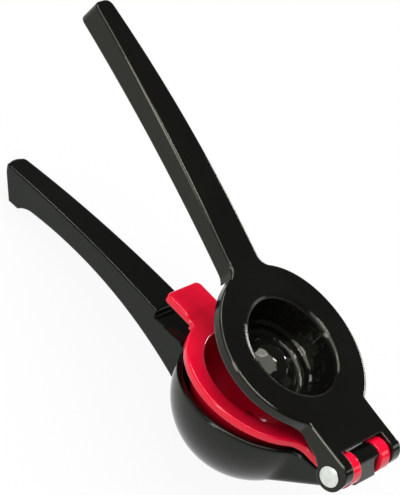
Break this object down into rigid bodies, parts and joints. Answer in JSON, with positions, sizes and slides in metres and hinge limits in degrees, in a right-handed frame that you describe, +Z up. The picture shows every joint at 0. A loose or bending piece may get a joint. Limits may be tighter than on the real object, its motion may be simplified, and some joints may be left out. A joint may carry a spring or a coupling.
{
  "type": "hinged lemon squeezer",
  "caption": "Hinged citrus squeezer: a bowl lever, a fruit insert with a finger tab and a press lever with a hollow boss turn on a common rivet.",
  "frame": {"origin": "centre of the bounding box's bottom face, level with the surface the squeezer rests on", "axes": "+X from the handle tips to the hinge, +Y along the hinge rivet towards its tail, +Z up"},
  "size_m": [0.2114, 0.072, 0.0989],
  "materials": {
    "black_enamel": "glossy black enamel on cast aluminium",
    "red_enamel": "glossy red enamel on cast aluminium",
    "rivet_steel": "satin steel"
  },
  "bodies": {
    "bowl_lever_body": {"bowl_lever": "black_enamel", "hinge_rivet": "rivet_steel"},
    "insert_body": {"fruit_insert": "red_enamel"},
    "press_lever_body": {"press_lever": "black_enamel"}
  },
  "joints": [
    {"name": "insert_hinge", "type": "hinge", "parent": "bowl_lever_body", "child": "insert_body", "pos_m": [0.09861, 0, 0.05154], "axis": [0, 1, 0], "range_deg": [-6.25, 53.75]},
    {"name": "press_hinge", "type": "hinge", "parent": "insert_body", "child": "press_lever_body", "pos_m": [0.09861, 0, 0.05154], "axis": [0, 1, 0], "range_deg": [-14.45, 95.55]}
  ]
}
